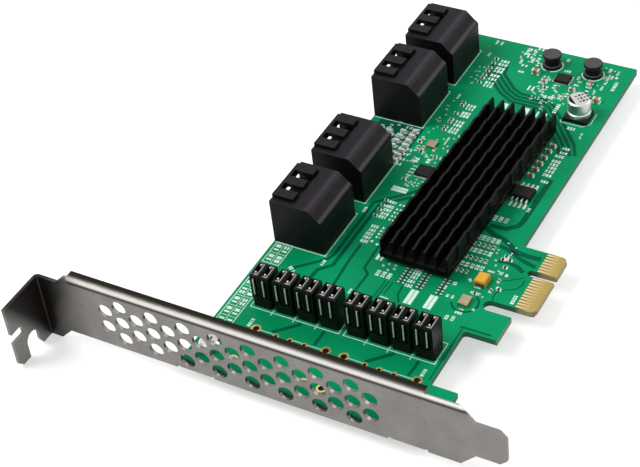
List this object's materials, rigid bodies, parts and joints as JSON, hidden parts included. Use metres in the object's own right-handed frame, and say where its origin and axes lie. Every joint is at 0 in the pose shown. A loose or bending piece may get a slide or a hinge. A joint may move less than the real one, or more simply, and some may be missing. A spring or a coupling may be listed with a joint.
{
  "type": "sata controller card",
  "caption": "Expansion card with a ventilated bracket, stacked SATA ports on its top edge, rows of capped jumpers and a long finned black heatsink.",
  "frame": {"origin": "middle of the key notch on the mating end of the edge connector, at the board's component face", "axes": "+X away from the bracket along the board, +Y away from the mating end towards the SATA ports, +Z out of the component face"},
  "size_m": [0.1559, 0.1209, 0.0218],
  "materials": {
    "board": "glossy green solder mask",
    "gold": "gold plated",
    "bracket_steel": "satin plated sheet steel",
    "screw_steel": "bright plated",
    "pin_metal": "tinned",
    "clip_metal": "bright spring metal",
    "heatsink_black": "black anodised",
    "chip_black": "moulded epoxy",
    "pad_grey": "soft pad",
    "tin": "tinned",
    "inductor_grey": "ferrite",
    "housing_black": "moulded",
    "header_black": "moulded",
    "cap_black": "moulded",
    "can_silver": "bright can",
    "tantalum_orange": "moulded resin",
    "crystal_tan": "metal lid",
    "capacitor_tan": "fired ceramic",
    "resistor_black": "glazed"
  },
  "bodies": {
    "root": {"bracket": "bracket_steel", "bracket_screws": "screw_steel", "chip_capacitors": "capacitor_tan", "chip_resistors": "resistor_black", "chip_terminations": "tin", "circuit_board": "board", "controller_chip": "chip_black", "crystal_1": "crystal_tan", "crystal_2": "crystal_tan", "edge_contacts_back": "gold", "edge_contacts_front": "gold", "electrolytic_base": "housing_black", "electrolytic_can": "can_silver", "flash_chip": "chip_black", "flash_leads": "tin", "header_pins": "pin_metal", "heatsink": "heatsink_black", "inductor_1": "inductor_grey", "inductor_2": "inductor_grey", "interface_chip": "chip_black", "jumper_cap_01": "cap_black", "jumper_cap_02": "cap_black", "jumper_cap_03": "cap_black", "jumper_cap_04": "cap_black", "jumper_cap_05": "cap_black", "jumper_cap_06": "cap_black", "jumper_cap_07": "cap_black", "jumper_cap_08": "cap_black", "jumper_cap_09": "cap_black", "jumper_cap_10": "cap_black", "jumper_cap_11": "cap_black", "jumper_cap_12": "cap_black", "jumper_cap_13": "cap_black", "jumper_cap_14": "cap_black", "jumper_cap_15": "cap_black", "jumper_cap_16": "cap_black", "jumper_clips": "clip_metal", "large_capacitors": "capacitor_tan", "pin_header_1": "header_black", "pin_header_2": "header_black", "pin_header_3": "header_black", "pin_header_4": "header_black", "pin_header_5": "header_black", "pin_header_6": "header_black", "pin_header_7": "header_black", "pin_header_8": "header_black", "regulator_chip": "chip_black", "sata_contacts_1": "gold", "sata_contacts_2": "gold", "sata_contacts_3": "gold", "sata_contacts_4": "gold", "sata_housing_1": "housing_black", "sata_housing_2": "housing_black", "sata_housing_3": "housing_black", "sata_housing_4": "housing_black", "tantalum_capacitor": "tantalum_orange", "tantalum_terminals": "tin", "thermal_pad": "pad_grey"}
  },
  "joints": []
}
